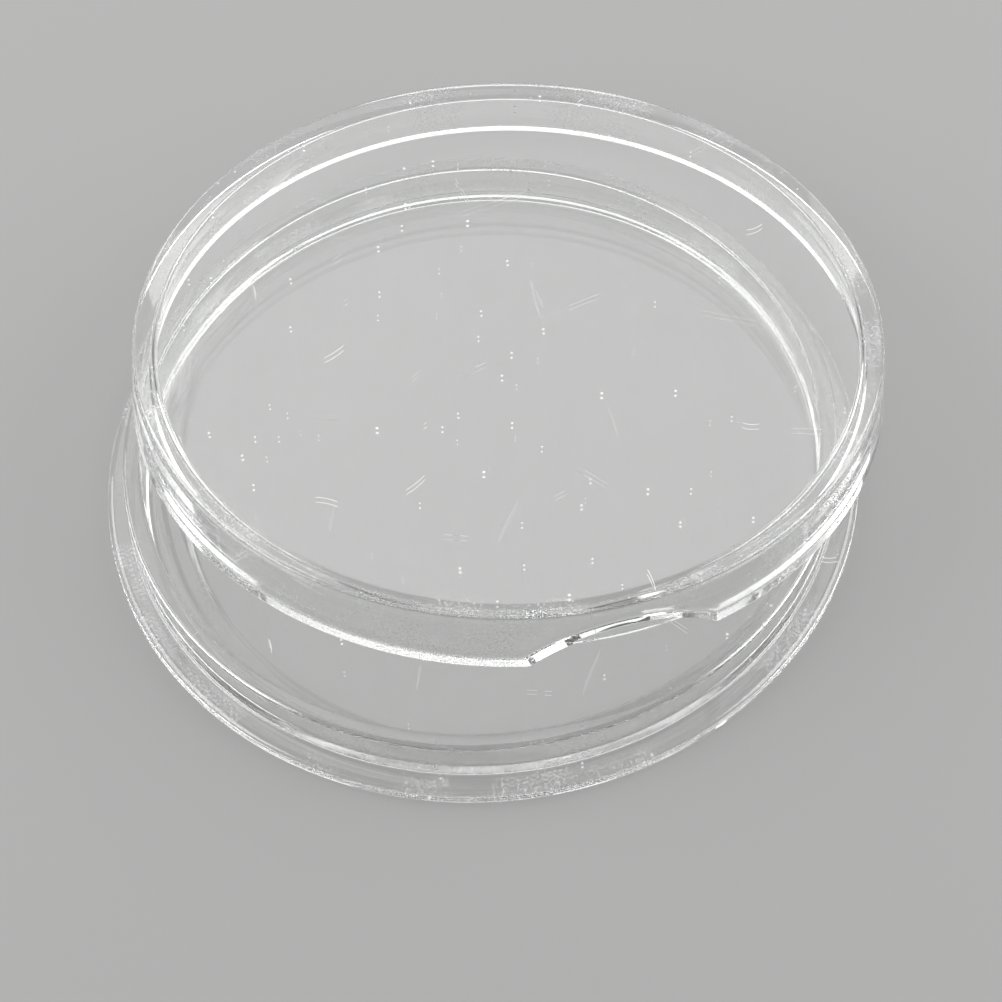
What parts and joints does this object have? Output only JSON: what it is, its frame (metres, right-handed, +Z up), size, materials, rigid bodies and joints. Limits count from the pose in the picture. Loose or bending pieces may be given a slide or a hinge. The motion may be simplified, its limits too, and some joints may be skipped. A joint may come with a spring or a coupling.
{
  "type": "petri dish",
  "caption": "Shallow round clear plastic dish with a full-width floor flange, and a loose lid with a finger notch in its rim, resting askew on the dish.",
  "frame": {"origin": "centre of the dish's flat underside, on the surface that it stands on", "axes": "+Z up through the dish's open side; the lid has been slid back towards +Y and a little towards +X"},
  "size_m": [0.1045, 0.1106, 0.0224],
  "materials": {
    "dish_plastic": "clear, glossy, lightly scuffed polystyrene",
    "lid_plastic": "clear, glossy, lightly scuffed polystyrene"
  },
  "bodies": {
    "dish": {"dish": "dish_plastic"},
    "lid": {"lid": "lid_plastic"}
  },
  "joints": [
    {"name": "lid_lift", "type": "slide", "parent": "dish", "child": "lid", "axis": [0, 0, 1], "range_m": [0, 0.05]}
  ]
}
